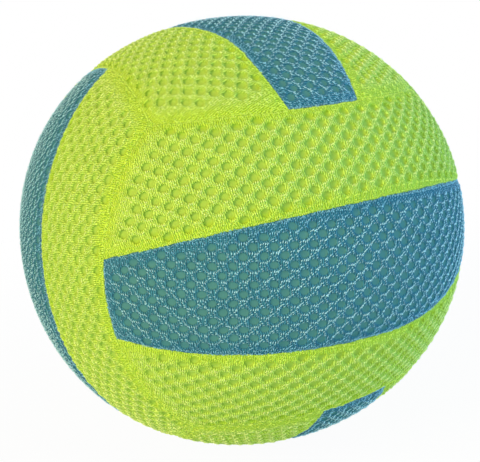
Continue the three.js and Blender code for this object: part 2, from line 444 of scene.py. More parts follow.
class Finish:
    """A procedural material with one Principled shader."""

    def start(self, name: str, values: dict[str, object]) -> tuple[Material, NodeGraph, Node]:
        """Makes a material with nothing but its shader.

        Args:
            name: the material's name.
            values: values of the shader's sockets that are the same all over.

        Returns:
            The material, its graph and its shader.
        """
        material = bpy.data.materials.new(name)
        material.use_nodes = True
        graph = NodeGraph(material.node_tree)
        shader = graph.add("ShaderNodeBsdfPrincipled", values)
        graph.add("ShaderNodeOutputMaterial", {"Surface": shader.outputs["BSDF"]})
        return material, graph, shader

    def dress(self, graph: NodeGraph, shader: Node, colour: Socket, relief: dict[str, object]) -> None:
        """Links a colour and a relief, the bump's height, strength and distance, to the shader."""
        graph.tree.links.new(colour, shader.inputs["Base Color"])
        graph.tree.links.new(graph.get("ShaderNodeBump", relief), shader.inputs["Normal"])


@dataclass(frozen=True)
class KnitFinish(Finish):
    """Face of the spacer mesh: fine loops on the lands, smooth floors in the holes, brighter turned-in seams,
    tinted partly in the pressed mesh's own colour and partly with painted light: the coloured bounce in the
    seam valleys and, on the blue, painted shading in the groove.

    A span is where a change starts and where it is complete: in relief, in shares of the hole's depth or in
    metres from the seam. A noise is its scale and detail.
    """

    # Distance over which a wave texture of scale one repeats
    WAVE_PERIOD = math.pi / 10

    name: str
    land: Colour
    # Colour of the loops' low parts: painted shade in the hollows between the loops
    painted_loop_shade: Colour
    # Colour of the holes' floors: the back layer's own colour, on the lime darkened further as painted shade
    # in the holes
    floor: Colour
    # Tint beside the seams: partly the pressed mesh's own colour, partly painted bounce light and painted
    # shade of the seam valley
    seam: Triple
    relief: float = 0.5
    relief_height: float = 0.4 * MM
    loop_pitch: float = 0.8 * MM
    loop_share: float = 0.5
    fuzz_share: float = 0.5
    fuzz: Pair = (1400.0, 3.0)
    shade_span: Pair = (0.3, 0.7)
    floor_span: Pair = (0.3, 0.8)
    land_span: Pair = (0.8, 0.35)
    seam_span: Pair = (7.5 * MM, 2.0 * MM)
    seam_noise: Pair = (300.0, 2.0)
    seam_wander: float = 2.0 * MM
    tone_noise: Pair = (90.0, 2.0)
    tone_spread: float = 0.16
    floor_relief: float = 0.15

    def loops(self, graph: NodeGraph, cloth: Socket) -> Socket:
        """Draws the columns of fine knitted loops.

        Args:
            graph: the material's graph.
            cloth: the places on the flat cloth.

        Returns:
            The loops' height from 0 to 1.
        """
        inputs = {"Vector": cloth, "Scale": self.WAVE_PERIOD / self.loop_pitch, "Distortion": 6.0}
        inputs.update({"Detail": 2.0, "Detail Scale": 1.4, "Detail Roughness": 0.6})
        return graph.get("ShaderNodeTexWave", inputs, "Fac", bands_direction="X")

    def colour(self, graph: NodeGraph, cloth: Socket, height: Socket, floor: Socket) -> Socket:
        """Colours the lands, with painted shading in the hollows between the loops, the floors of the holes
        and the bands beside the seams.

        Args:
            graph: the material's graph.
            cloth: the places on the flat cloth.
            height: the relief from 0 to 1.
            floor: 1 on the floor of a hole and 0 on the lands.

        Returns:
            The colour all over.
        """
        # The loops' hollows are painted darker, as shade
        colour = graph.mix(graph.ramp(height, *self.shade_span), linear(self.painted_loop_shade), linear(self.land))
        # Floors of the holes: partly the back layer's colour, partly painted shade in the pits
        colour = graph.mix(floor, colour, linear(self.floor))
        # Beside the seams: partly the pressed mesh's colour, partly painted bounce light and painted shade of
        # the valley
        noise = graph.noise(cloth, *self.seam_noise)
        wander = graph.math("MULTIPLY_ADD", noise, self.seam_wander, graph.attribute("edge", "Fac"))
        seam = graph.vector("MULTIPLY", colour, self.seam)
        colour = graph.mix(graph.ramp(wander, *self.seam_span), colour, seam)
        tone = graph.about(1.0, graph.noise(cloth, *self.tone_noise), self.tone_spread)
        return graph.get("ShaderNodeHueSaturation", {"Color": colour, "Value": tone})

    def build(self, hole_depth: float) -> Material:
        """Builds the material.

        Args:
            hole_depth: how deep the cloth's holes are.

        Returns:
            The material.
        """
        values = {"Roughness": 0.8, "Specular IOR Level": 0.3, "Sheen Weight": 0.08, "Sheen Roughness": 0.5}
        material, graph, shader = self.start(self.name, {**values, "Sheen Tint": linear(self.land)})
        cloth = graph.attribute("cloth", "Vector")
        sink = graph.attribute("sink", "Fac")
        fuzz = graph.product(graph.noise(cloth, *self.fuzz), self.fuzz_share)
        height = graph.math("MULTIPLY_ADD", self.loops(graph, cloth), self.loop_share, fuzz)
        spans = np.array([self.floor_span, self.land_span]) * hole_depth
        floor, land = (graph.ramp(sink, *map(float, span)) for span in spans)
        rough = graph.math("MULTIPLY_ADD", land, 1 - self.floor_relief, self.floor_relief)
        relief = {"Height": graph.product(height, rough), "Strength": self.relief}
        colour = self.colour(graph, cloth, height, floor)
        self.dress(graph, shader, colour, {**relief, "Distance": self.relief_height})
        return material


@dataclass(frozen=True)
class StitchFinish(Finish):
    """Shiny filament of the stitches, each a little lighter or darker than the next; the lighter ones carry a
    painted glint of the filament.
    """

    name: str
    # Colour of the lightest stitches: a painted glint of the shiny filament
    pale: Colour
    deep: Colour
    # Tint of the stitches beside the seams: partly their own colour, partly painted light and shade of the
    # seam valley
    seam: Triple
    seam_span: Pair = (7.0 * MM, 2.0 * MM)
    twist: Pair = (900.0, 2.0)

    def build(self) -> Material:
        """Builds the material.

        Returns:
            The material.
        """
        material, graph, shader = self.start(self.name, {"Roughness": 0.38, "Specular IOR Level": 0.7})
        # Lighter stitches take the light colour: a painted glint, with a random tone on top
        tint = graph.ramp(graph.attribute("tint", "Fac"), 0.0, 1.0)
        colour = graph.mix(tint, linear(self.deep), linear(self.pale))
        # Beside the seams the stitches take that tint: partly painted light and shade of the valley
        beside = graph.ramp(graph.attribute("edge", "Fac"), *self.seam_span)
        colour = graph.mix(beside, colour, graph.vector("MULTIPLY", colour, self.seam))
        twist = graph.noise(graph.get("ShaderNodeTexCoord", output="Object"), *self.twist)
        self.dress(graph, shader, colour, {"Height": twist, "Strength": 0.3, "Distance": 0.1 * MM})
        return material


@dataclass(frozen=True)
class RubberFinish(Finish):
    """Moulded rubber with a fine matt grain and wide worn patches."""

    name: str
    colour: Colour
    worn: Colour
    roughness: float
    grain: Pair = (1 / (0.6 * MM), 3.0)
    patches: Pair = (60.0, 2.0)
    worn_span: Pair = (0.4, 0.75)

    def build(self) -> Material:
        """Builds the material.

        Returns:
            The material.
        """
        values = {"Roughness": self.roughness, "Specular IOR Level": 0.4}
        material, graph, shader = self.start(self.name, values)
        place = graph.get("ShaderNodeTexCoord", output="Object")
        share = graph.ramp(graph.noise(place, *self.patches), *self.worn_span)
        colour = graph.mix(share, linear(self.colour), linear(self.worn))
        relief = {"Height": graph.noise(place, *self.grain), "Strength": 0.25, "Distance": 0.1 * MM}
        self.dress(graph, shader, colour, relief)
        return material


# Knitting


class KnitTree(NodeGraph):
    """Geometry Nodes tree that sinks a hole into every marked cell and lays a stitch on every loose edge."""

    # Kind and usual value of each input
    INPUTS = {
        "Out": ("Vector", (0.0, 0.0, 1.0)),
        "Run": ("Vector", (1.0, 0.0, 0.0)),
        "Side": ("Vector", (0.0, 1.0, 0.0)),
        "Ball Radius": ("Float", 0.105),
        "Hole Along": ("Float", 1.9 * MM),
        "Hole Across": ("Float", 1.7 * MM),
        "Hole Depth": ("Float", 1.35 * MM),
        "Hole Variation": ("Float", 0.06),
        "Unevenness": ("Float", 0.15 * MM),
        "Wander": ("Float", 1.1 * MM),
        "Stitch Width": ("Float", 0.4 * MM),
        "Seed": ("Int", 1),
        "Cloth": ("Material", None),
        "Yarn": ("Material", None),
    }
    # Rings of a hole from its lip to its floor: size and depth as shares of the hole's
    RINGS = ((1.14, 0.03), (1.02, 0.16), (0.94, 0.6), (0.76, 0.92), (0.4, 1.0))
    # Scale and detail of the noises
    RAGGED_NOISE = (450.0, 1.0)
    WANDER_NOISE = (240.0, 2.0)
    UNEVEN_NOISE = (330.0, 1.0)
    RAGGEDNESS = 0.3
    TINTS = (-0.25, 0.25)
    WIDTHS = (0.8, 1.2)
    # A cut edge turns by more than an angle in radians and lies within a distance of the panel's edge
    CUT_ANGLE = 1.0
    CUT_REACH = 0.05 * MM

    def __init__(self) -> None:
        """Builds the tree."""
        super().__init__(bpy.data.node_groups.new("spacer_mesh_knit", "GeometryNodeTree"))
        interface = self.tree.interface
        interface.new_socket("Geometry", in_out="OUTPUT", socket_type="NodeSocketGeometry")
        interface.new_socket("Geometry", in_out="INPUT", socket_type="NodeSocketGeometry")
        self.identifiers: dict[str, str] = {}
        for name, (kind, value) in self.INPUTS.items():
            socket = interface.new_socket(name, in_out="INPUT", socket_type="NodeSocket" + kind)
            if value is not None:
                socket.default_value = value
            self.identifiers[name] = socket.identifier
        self.given = self.add("NodeGroupInput").outputs
        face = self.sunk_holes(self.given["Geometry"])
        stitches = self.stitches(self.given["Geometry"])
        joined = self.add("GeometryNodeJoinGeometry")
        output = self.add("NodeGroupOutput")
        for branch in (stitches, face):
            self.tree.links.new(branch, joined.inputs[0])
        self.tree.links.new(joined.outputs[0], output.inputs[0])

    def named(self, name: str, kind: str) -> Socket:
        """Reads a named attribute."""
        return self.get("GeometryNodeInputNamedAttribute", {"Name": name}, data_type=kind)

    def store(self, mesh: Socket, name: str, value: object, kind: str, domain: str,
              **chosen: Socket) -> Socket:
        """Stores a named attribute on the geometry, on all of it or on what is chosen."""
        inputs = {"Geometry": mesh, "Name": name, "Value": value, **chosen}
        return self.get("GeometryNodeStoreNamedAttribute", inputs, data_type=kind, domain=domain)

    def without(self, mesh: Socket, *names: str) -> Socket:
        """Drops named attributes that nothing reads afterwards.

        Args:
            mesh: the geometry.
            names: the attributes.

        Returns:
            The geometry without them.
        """
        for name in names:
            mesh = self.get("GeometryNodeRemoveAttribute", {"Geometry": mesh, "Name": name})
        return mesh

    def random(self, low: object, high: object, step: float) -> Socket:
        """Draws a number for each element, from a seed that lies a step after the tree's."""
        inputs = {"Min_001": low, "Max_001": high, "Seed": self.math("ADD", self.given["Seed"], step)}
        return self.get("FunctionNodeRandomValue", inputs, 1, data_type="FLOAT")

    def finished(self, mesh: Socket, material: str) -> Socket:
        """Rounds the shading, apart from the cut edges in the seams, and gives a material.

        Args:
            mesh: the geometry.
            material: the name of the tree's input with the material.

        Returns:
            The geometry with its shading and material.
        """
        steep = self.math("GREATER_THAN", self.get("GeometryNodeInputMeshEdgeAngle"), self.CUT_ANGLE)
        rim = self.math("LESS_THAN", self.named("edge", "FLOAT"), self.CUT_REACH)
        mesh = self.get("GeometryNodeSetShadeSmooth", {"Geometry": mesh, "Shade Smooth": True})
        inputs = {"Geometry": mesh, "Selection": self.product(steep, rim), "Shade Smooth": False}
        mesh = self.get("GeometryNodeSetShadeSmooth", inputs, domain="EDGE")
        return self.get("GeometryNodeSetMaterial", {"Geometry": mesh, "Material": self.given[material]})

    def ring_places(self, share: float, sink: float) -> Socket:
        """Works out where the corners of a cell's inner face go in one ring of its hole.

        Args:
            share: size of the ring as a share of the hole.
            sink: its depth as a share of the hole's.

        Returns:
            The places.
        """
        given = self.given
        place = self.position()
        middle, up, grain = (self.named(name, "FLOAT_VECTOR") for name in ("middle", "up", "grain"))
        across = self.vector("NORMALIZE", self.vector("CROSS_PRODUCT", up, grain))
        offset = self.vector("SUBTRACT", place, middle)
        ways = ((grain, given["Hole Along"]), (across, given["Hole Across"]))
        shares = [self.math("DIVIDE", self.number("DOT_PRODUCT", offset, way), half) for way, half in ways]
        unit = self.vector("NORMALIZE", self.combined(*shares))
        unit = self.add("ShaderNodeSeparateXYZ", {"Vector": unit}).outputs
        ragged = self.about(share, self.noise(place, *self.RAGGED_NOISE), self.RAGGEDNESS)
        size = self.product(self.named("size", "FLOAT"), ragged)
        parts = zip(ways, unit[:2])
        along, wide = (self.scaled(way, self.product(part, half, size)) for (way, half), part in parts)
        down = self.scaled(up, self.product(given["Hole Depth"], -sink))
        return self.vector("ADD", middle, self.vector("ADD", self.vector("ADD", along, wide), down))

    def cloth_places(self) -> Socket:
        """Works each point's place on the flat cloth back from its place on the ball.

        Returns:
            The places.
        """
        given = self.given
        place = self.position()
        out, run, side = (self.number("DOT_PRODUCT", place, given[name]) for name in ("Out", "Run", "Side"))
        along = self.math("ARCTAN2", run, out)
        across = self.math("ARCSINE", self.math("DIVIDE", side, self.number("LENGTH", place)))
        return self.scaled(self.combined(along, across), given["Ball Radius"])

    def wandered(self, geometry: Socket) -> Socket:
        """Shifts everything a little within the face, the same way wherever two panels meet.

        Args:
            geometry: the geometry.

        Returns:
            The shifted geometry.
        """
        place = self.position()
        drift = self.drift(place, *self.WANDER_NOISE)
        within = self.vector("CROSS_PRODUCT", self.vector("NORMALIZE", place), drift)
        return self.moved(geometry, self.scaled(within, self.given["Wander"]))

    def sunk_holes(self, net: Socket) -> Socket:
        """Sinks the holes.

        Args:
            net: the net of cells with the loose edges.

        Returns:
            The knitted face with the rest of the panel.
        """
        given = self.given
        inputs = {"Geometry": net, "Selection": self.named("thread", "BOOLEAN")}
        mesh = self.get("GeometryNodeDeleteGeometry", inputs, domain="POINT")
        sizes = (self.math(way, 1.0, given["Hole Variation"]) for way in ("SUBTRACT", "ADD"))
        mesh = self.store(mesh, "middle", self.position(), "FLOAT_VECTOR", "FACE")
        mesh = self.store(mesh, "up", self.get("GeometryNodeInputNormal"), "FLOAT_VECTOR", "FACE")
        mesh = self.store(mesh, "size", self.random(*sizes, step=1.0), "FLOAT", "FACE")
        chosen = self.named("hole", "BOOLEAN")
        for share, sink in self.RINGS:
            inputs = {"Mesh": mesh, "Selection": chosen, "Offset Scale": 0.0, "Individual": True}
            pulled = self.add("GeometryNodeExtrudeMesh", inputs, mode="FACES").outputs
            chosen = pulled["Top"]
            inputs = {"Geometry": pulled["Mesh"], "Selection": chosen}
            inputs["Position"] = self.ring_places(share, sink)
            mesh = self.get("GeometryNodeSetPosition", inputs)
            depth = self.product(given["Hole Depth"], sink)
            mesh = self.store(mesh, "sink", depth, "FLOAT", "POINT", Selection=chosen)
        drift = self.drift(self.position(), *self.UNEVEN_NOISE)
        mesh = self.wandered(self.moved(mesh, self.scaled(drift, given["Unevenness"])))
        mesh = self.store(mesh, "cloth", self.cloth_places(), "FLOAT_VECTOR", "POINT")
        return self.finished(self.without(mesh, "middle", "up", "size", "grain", "pale"), "Cloth")

    def stitches(self, net: Socket) -> Socket:
        """Lays a stitch along every loose edge.

        Args:
            net: the net of cells with the loose edges.

        Returns:
            The stitches.
        """
        ends = self.add("GeometryNodeInputMeshEdgeVertices").outputs
        run = self.vector("SUBTRACT", ends["Position 2"], ends["Position 1"])
        mesh = self.store(net, "run", run, "FLOAT_VECTOR", "EDGE")
        # Each stitch's lightness, a painted glint of the filament, plus a random tone
        tint = self.math("ADD", self.named("pale", "FLOAT"), self.random(*self.TINTS, step=3.0))
        mesh = self.store(mesh, "tint", tint, "FLOAT", "EDGE")
        inputs = {"Mesh": mesh, "Selection": self.named("thread", "BOOLEAN")}
        points = self.wandered(self.get("GeometryNodeMeshToPoints", inputs, mode="EDGES"))
        run = self.named("run", "FLOAT_VECTOR")
        inputs = {"Primary Axis": run, "Secondary Axis": self.position()}
        turn = self.get("FunctionNodeAxesToRotation", inputs, primary_axis="Z", secondary_axis="X")
        width = self.product(self.given["Stitch Width"], self.random(*self.WIDTHS, step=5.0))
        size = self.combined(width, width, self.number("LENGTH", run))
        spindle = self.get("GeometryNodeMeshUVSphere", {"Segments": 4, "Rings": 2, "Radius": 0.5})
        inputs = {"Points": points, "Instance": spindle, "Rotation": turn, "Scale": size}
        laid = self.get("GeometryNodeInstanceOnPoints", inputs)
        real = self.get("GeometryNodeRealizeInstances", {"Geometry": laid})
        return self.finished(self.without(real, "run"), "Yarn")

    def knit(self, piece: Piece, values: dict[str, object]) -> None:
        """Runs the tree on a piece and keeps the result as its plain mesh.

        Args:
            piece: the net.
            values: the tree's inputs by name.
        """
        modifier = piece.modifiers.new("knit", "NODES")
        modifier.node_group = self.tree
        for name, value in values.items():
            modifier[self.identifiers[name]] = value
        depsgraph = bpy.context.evaluated_depsgraph_get()
        made = bpy.data.meshes.new_from_object(
            piece.evaluated_get(depsgraph), preserve_all_data_layers=True, depsgraph=depsgraph
        )
        made.name = piece.name
        piece.modifiers.remove(modifier)
        old, piece.data = piece.data, made
        bpy.data.meshes.remove(old)


@dataclass(frozen=True)
class MeshCloth:
    """Knit of one colour of spacer mesh: a net of diamonds with a round hole in each."""

    pitch_along: float
    pitch_across: float
    hole_along: float
    hole_across: float
    stitch_width: float
    hole_depth: float
    # How light the struts' stitches are: a painted glint of the filament
    strut_glint: float
    knot_spread: float
    # How much lighter the struts' stitches get on the diagonal where the rows lead: a painted glint
    glint_lean: float
    knot_turn: float
    closed_end: float
    stitch_kept: float = 0.93

    @property
    def knit(self) -> dict[str, object]:
        """The tree's inputs for this cloth."""
        names = ("Hole Along", "Hole Across", "Hole Depth", "Stitch Width")
        return dict(zip(names, (self.hole_along, self.hole_across, self.hole_depth, self.stitch_width)))


# Parts of a pitch in which places on the net are counted: thirds of half a pitch
PARTS = 6
HALF_PITCH = 3
# Corners of a diamond about its middle, in those parts, anticlockwise
DIAMOND = np.array(
    [(3, 0), (2, 1), (1, 2), (0, 3), (-1, 2), (-2, 1), (-3, 0), (-2, -1), (-1, -2), (0, -3), (1, -2), (2, -1)]
)
# Stitches of one knot of the net: place along and across in millimetres, angle in degrees, length and lift in
# millimetres, paleness, which paints the glint of the filament on the raised stitches
KNOT = np.array(
    [
        (-0.9, 0.85, 84, 1.1, 0.25, 0.9), (-0.2, 1.0, 94, 1.3, 0.35, 1.1), (0.5, 0.9, 88, 1.3, 0.35, 1.1),
        (1.1, 0.7, 99, 0.9, 0.25, 0.8), (-1.0, 0.05, 6, 1.1, 0.1, 0.6), (0.35, 0.1, -4, 1.0, 0.15, 0.6),
        (-0.5, -0.6, -6, 1.2, 0.1, 0.8), (0.8, -0.5, 3, 1.0, 0.1, 0.6), (-0.2, -1.25, 2, 1.1, 0.1, 0.5),
        (0.9, -1.15, 8, 0.9, 0.1, 0.6),
    ]
)
# A stitch of a knot that is steeper than this, in degrees, turns against the others
STEEP = 45
# Stitches of a strut: share of the way from one knot to the next, and slant against the strut in degrees
STRUT = ((0.32, 40), (0.44, 110), (0.56, 65), (0.68, 20))
# Points closer together than this, in millimetres, are one in a filled face
SAME_PLACE = 1e-5


def rotated(places: Array, headings: Array) -> Array:
    """Turns a set of places about the origin, once for each heading.

    Args:
        places: places, one a row.
        headings: angles in radians.

    Returns:
        The turned places, one set for each heading.
    """
    turns = headings[:, None]
    cos, sin = np.cos(turns), np.sin(turns)
    x, y = places.T
    return np.stack([cos * x - sin * y, sin * x + cos * y], axis=-1)


@dataclass
class Net:
    """Points, faces and loose edges of a panel before it is knitted."""

    cloth: list[Pair] = field(default_factory=list)
    depth: list[float] = field(default_factory=list)
    faces: list[tuple[int, ...]] = field(default_factory=list)
    grains: list[Pair | None] = field(default_factory=list)
    threads: list[tuple[int, int]] = field(default_factory=list)
    # How light each stitch is: a painted glint of the filament
    glint_shares: list[float] = field(default_factory=list)

    def add_points(self, places: Array, depths: Array | float) -> list[int]:
        """Adds points.

        Args:
            places: places on the flat cloth, one a row.
            depths: how far below the face they lie, one for all or one each.

        Returns:
            The numbers of the points.
        """
        first = len(self.cloth)
        self.cloth.extend(map(tuple, places))
        self.depth.extend(np.broadcast_to(depths, len(places)))
        return list(range(first, first + len(places)))

    def add_faces(self, faces: list[tuple[int, ...]]) -> None:
        """Adds plain faces."""
        self.faces.extend(faces)
        self.grains.extend([None] * len(faces))

    def add_cell(self, face: tuple[int, ...], heading: float) -> None:
        """Adds a face that gets a hole, with the heading of its grain."""
        self.faces.append(face)
        self.grains.append((math.cos(heading), math.sin(heading)))

    def join_loops(self, loops: list[list[int]]) -> None:
        """Joins loops of as many points with bands of four-sided faces.

        Args:
            loops: the loops, each joined to the one before.
        """
        for outer, inner in zip(loops, loops[1:]):
            count = len(outer)
            pairs = ((k, (k + 1) % count) for k in range(count))
            self.add_faces([(outer[k], outer[n], inner[n], inner[k]) for k, n in pairs])

    def fill(self, rim: list[int], cut_outs: list[list[int]], loose: list[int], flip: bool = False) -> None:
        """Fills the cloth inside a rim with triangles, apart from its cut-outs.

        Args:
            rim: the numbers of the points round the outside.
            cut_outs: loops of points that stay free inside.
            loose: further points to use.
            flip: whether the faces point into the ball.
        """
        numbers = sorted({n for loop in (rim, *cut_outs) for n in loop} | set(loose))
        order = {number: k for k, number in enumerate(numbers)}
        flat = [Vector(self.cloth[n]) / MM for n in numbers]
        loops = [[order[n] for n in loop] for loop in (rim, *cut_outs)]
        _, _, made, origins, _, insides = delaunay_2d_cdt(flat, [], loops, 0, SAME_PLACE)
        back = [numbers[ids[0]] for ids in origins]
        faces = [tuple(back[k] for k in face) for face, inside in zip(made, insides) if list(inside) == [0]]
        corners = np.array([[self.cloth[k] for k in face] for face in faces])
        first, second = corners[:, 1] - corners[:, 0], corners[:, 2] - corners[:, 0]
        turned = (first[:, 0] * second[:, 1] - first[:, 1] * second[:, 0] < 0) != flip
        self.add_faces([face[::-1] if wrong else face for face, wrong in zip(faces, turned)])


# Sub-assemblies


@dataclass
class Panel:
    """One panel of the cover: cut, laid on the ball, knitted and dressed."""

    ball: BallShape
    group: Group
    strip: Strip
    cloth: MeshCloth
    seed: int
    bore_radius: float = 0.0
    bore_clearance: float = 1.2
    bore_sides: int = 48
    # Rings of the bore's lip: radius as a share of the bore's, and depth
    bore_lip: tuple[Pair, ...] = ((1.15, 0.0), (1.04, 0.15 * MM), (1.0, 0.7 * MM))
    lean_fade: float = 34 * MM
    seam_depth: float = 0.75 * MM
    seam_roll: float = 6 * MM
    hem_depth: float = 7 * MM
    hem_width: float = 3 * MM
    back_depth: float = 3.8 * MM
    back_step: float = 8 * MM
    back_margin: float = 2 * MM
    back_reach: Pair = (0.12, 0.04)
    border_step: float = 1.5 * MM
    band_insets: Pair = (0.0, 0.3 * MM)
    # Insets of the rows of points beside the seams, the inset past which a row keeps every other point, and
    # how far these points stay from a cell's corners, from its middle and from the panel's edge
    edge_insets: Triple = (1.2 * MM, 2.3 * MM, 3.6 * MM)
    sparse_from: float = 2 * MM
    corner_room: float = 0.7 * MM
    middle_room: float = 3.4 * MM
    edge_room: float = 0.6 * MM
    # Room beside a whole cell and beside a single oval one, and an oval's size as a share of the hole's
    cell_room: float = 0.5 * MM
    oval_room: float = 0.35 * MM
    oval_size: float = 1.32
    # Size of the net as a share of the panel's, and columns and rows to spare on each side
    net_reach: float = 1.3
    net_spare: tuple[int, int] = (2, 4)
    # Chance in the stitches, and how far they may reach past the edge
    place_spread: float = 0.08 * MM
    angle_spread: float = 0.14
    length_shares: Pair = (0.85, 1.15)
    overhang: float = 0.4 * MM
    strut_stitch: float = 0.95 * MM
    seam_stitch: float = 1.1 * MM
    seam_stitch_insets: Pair = (1.2 * MM, -0.2 * MM)
    seam_stitch_rows: int = 3
    # How light the seam stitches are: a painted glint of the filament
    seam_glint: float = 0.5
    low_lift: float = 0.05 * MM

    def __post_init__(self) -> None:
        """Works out the outline, the cloth's axes, its grain and where its knit starts, on an empty net."""
        self.outline = StripOutline(self.ball, self.strip, STRAYS.get(self.group, TRUE_SEAMS))
        self.cloth_axes = self.group.axes.tilted(self.outline.middle_angle)
        self.lean_way, self.lean_place = LEANS.get(self.group, USUAL_LEAN)
        drawn = float(np.random.default_rng(self.seed).uniform(-LARGEST_TURN, LARGEST_TURN))
        turn, self.bow = GRAINS.get(self.name, (drawn, 0.0))
        self.turn = math.radians(turn)
        self.chance = np.random.default_rng(self.seed)
        self.start = self.chance.uniform(-0.5, 0.5, 2) * (self.cloth.pitch_along, self.cloth.pitch_across)
        self.net = Net()

    @property
    def name(self) -> str:
        """The panel's node name."""
        lime = side_name(self.group.axes.side * self.strip.value) + "_lime"
        return f"{self.group.name.lower()}_{'blue' if self.strip is Strip.MIDDLE else lime}_panel"

    def edge_distances(self, places: Array) -> tuple[Array, Array]:
        """Measures how far places on the flat cloth are from the long edges and from the ends."""
        directions = self.cloth_axes.directions(*(places / self.ball.radius).T)
        return self.outline.distances(*self.group.axes.angles(directions))

    def clearance(self, places: Array) -> Array:
        """Measures how far places on the flat cloth are from its edges and from the valve's hole.

        Args:
            places: the places, one a row.

        Returns:
            The distances, negative outside.
        """
        clear = np.minimum(*self.edge_distances(places))
        if self.bore_radius:
            clear = np.minimum(clear, np.hypot(*places.T) - self.bore_clearance * self.bore_radius)
        return clear

    def clear_cells(self, cells: Array, room: float) -> Array:
        """Tells which cells have more room than asked beside every corner."""
        return self.clearance(cells.reshape(-1, 2)).reshape(cells.shape[:2]).min(axis=1) > room

    def roll_depths(self, places: Array) -> Array:
        """Gives how far the face has rolled down towards the seams.

        Args:
            places: places on the flat cloth, one a row.

        Returns:
            Depths below the face.
        """
        side, end = self.edge_distances(places)
        reach = np.hypot(np.maximum(0, 1 - side / self.seam_roll), np.maximum(0, 1 - end / self.seam_roll))
        return self.seam_depth * np.minimum(1, reach) ** 2

    def add_face_points(self, places: Array, lift: Array | float = 0.0) -> list[int]:
        """Adds points of the face, rolled down beside the seams, and returns their numbers."""
        return self.net.add_points(places, self.roll_depths(places) - lift)

    def laid(self, places: Array, depths: Array) -> Array:
        """Lays places of the flat cloth on the ball at some depths."""
        return self.ball.points(self.cloth_axes.directions(*(places / self.ball.radius).T), depths)

    def border(self, inset: float) -> Array:
        """Walks round the panel at an inset from its edges.

        Args:
            inset: distance from the edges.

        Returns:
            Places on the flat cloth, anticlockwise from outside.
        """
        tips, _ = self.outline.crossing(np.array([1.0]), np.array([0.5]), 0.0)
        low, high = self.outline.seams(np.array([0.0]))
        radius = self.ball.radius
        spans = int(2 * tips[0] * radius / self.border_step), int((high - low)[0] * radius / self.border_step)
        run, rise = (np.linspace(0, 1, count + 1) for count in spans)
        along = np.concatenate([run[:-1], np.ones(spans[1]), run[:0:-1], np.zeros(spans[1])])
        across = np.concatenate([np.zeros(spans[0]), rise[:-1], np.ones(spans[0]), rise[:0:-1]])
        directions = self.group.axes.directions(*self.outline.crossing(along, across, inset))
        return np.column_stack(self.cloth_axes.angles(directions)) * radius

    def circle(self, radius: float) -> Array:
        """Gives places on a circle about the middle of the cloth, anticlockwise."""
        turns = np.arange(self.bore_sides) * 2 * math.pi / self.bore_sides
        return radius * np.column_stack([np.cos(turns), np.sin(turns)])

    def headings(self, parts: Array) -> Array:
        """Gives the grain's heading at points of the net."""
        return self.turn + self.bow * parts[..., 0] * self.cloth.pitch_along / PARTS

    def lattice(self, parts: Array) -> Array:
        """Places points of the net on the flat cloth.

        Args:
            parts: places along and across the net, in parts of a pitch.

        Returns:
            The places.
        """
        along = parts[..., 0] * self.cloth.pitch_along / PARTS
        across = parts[..., 1] * self.cloth.pitch_across / PARTS
        heading = self.headings(parts)
        x = along * math.cos(self.turn) - across * np.sin(heading)
        y = along * math.sin(self.turn) + self.bow * along**2 / 2 + across * np.cos(heading)
        return np.stack([x, y], axis=-1) + self.start

    def net_points(self) -> tuple[Array, Array]:
        """Lists the net's points on the cloth.

        Returns:
            The middles of its diamonds and its knots, in parts of a pitch.
        """
        reach = np.abs(self.border(0.0)).max(axis=0) * self.net_reach
        columns = int(reach[0] / self.cloth.pitch_along * 2) + self.net_spare[0]
        rows = int(reach[1] / self.cloth.pitch_across * 2) + self.net_spare[1]
        grid = np.array([(x, y) for x in range(-columns, columns + 1) for y in range(-rows, rows + 1)])
        even = grid.sum(axis=1) % 2 == 0
        return grid[even] * HALF_PITCH, grid[~even] * HALF_PITCH

    def ovals(self, diamonds: Array) -> Array:
        """Draws a single oval cell about the middle of each diamond.

        Args:
            diamonds: the middles of the diamonds.

        Returns:
            The ovals' corners on the flat cloth.
        """
        half = np.array([self.cloth.hole_along, self.cloth.hole_across])
        unit = DIAMOND * (self.cloth.pitch_along, self.cloth.pitch_across) / half
        oval = unit / np.hypot(*unit.T)[:, None] * half * self.oval_size
        return rotated(oval, self.headings(diamonds)) + self.lattice(diamonds)[:, None, :]

    def knit_cells(self) -> tuple[list[list[int]], Array]:
        """Adds the cells that get a hole: whole diamonds, and ovals where the edge cuts into a diamond.

        Returns:
            The cells' points, and the middles of the diamonds that stay closed.
        """
        diamonds, _ = self.net_points()
        places = self.lattice(diamonds[:, None, :] + DIAMOND)
        ovals = self.ovals(diamonds)
        whole = self.clear_cells(places, self.cell_room)
        open_from = self.cloth.closed_end + self.cloth.pitch_along / 2
        open_here = self.edge_distances(self.lattice(diamonds))[1] > open_from
        chosen = (whole | self.clear_cells(ovals, self.oval_room)) & open_here
        headings = self.headings(diamonds)
        cells, known = [], {}
        for number in np.flatnonzero(chosen):
            if whole[number]:
                cell = []
                for key, place in zip(map(tuple, diamonds[number] + DIAMOND), places[number]):
                    if key not in known:
                        known[key] = self.add_face_points(place[None, :])[0]
                    cell.append(known[key])
            else:
                cell = self.add_face_points(ovals[number])
            self.net.add_cell(tuple(cell), float(headings[number]))
            cells.append(cell)
        return cells, diamonds[~chosen]

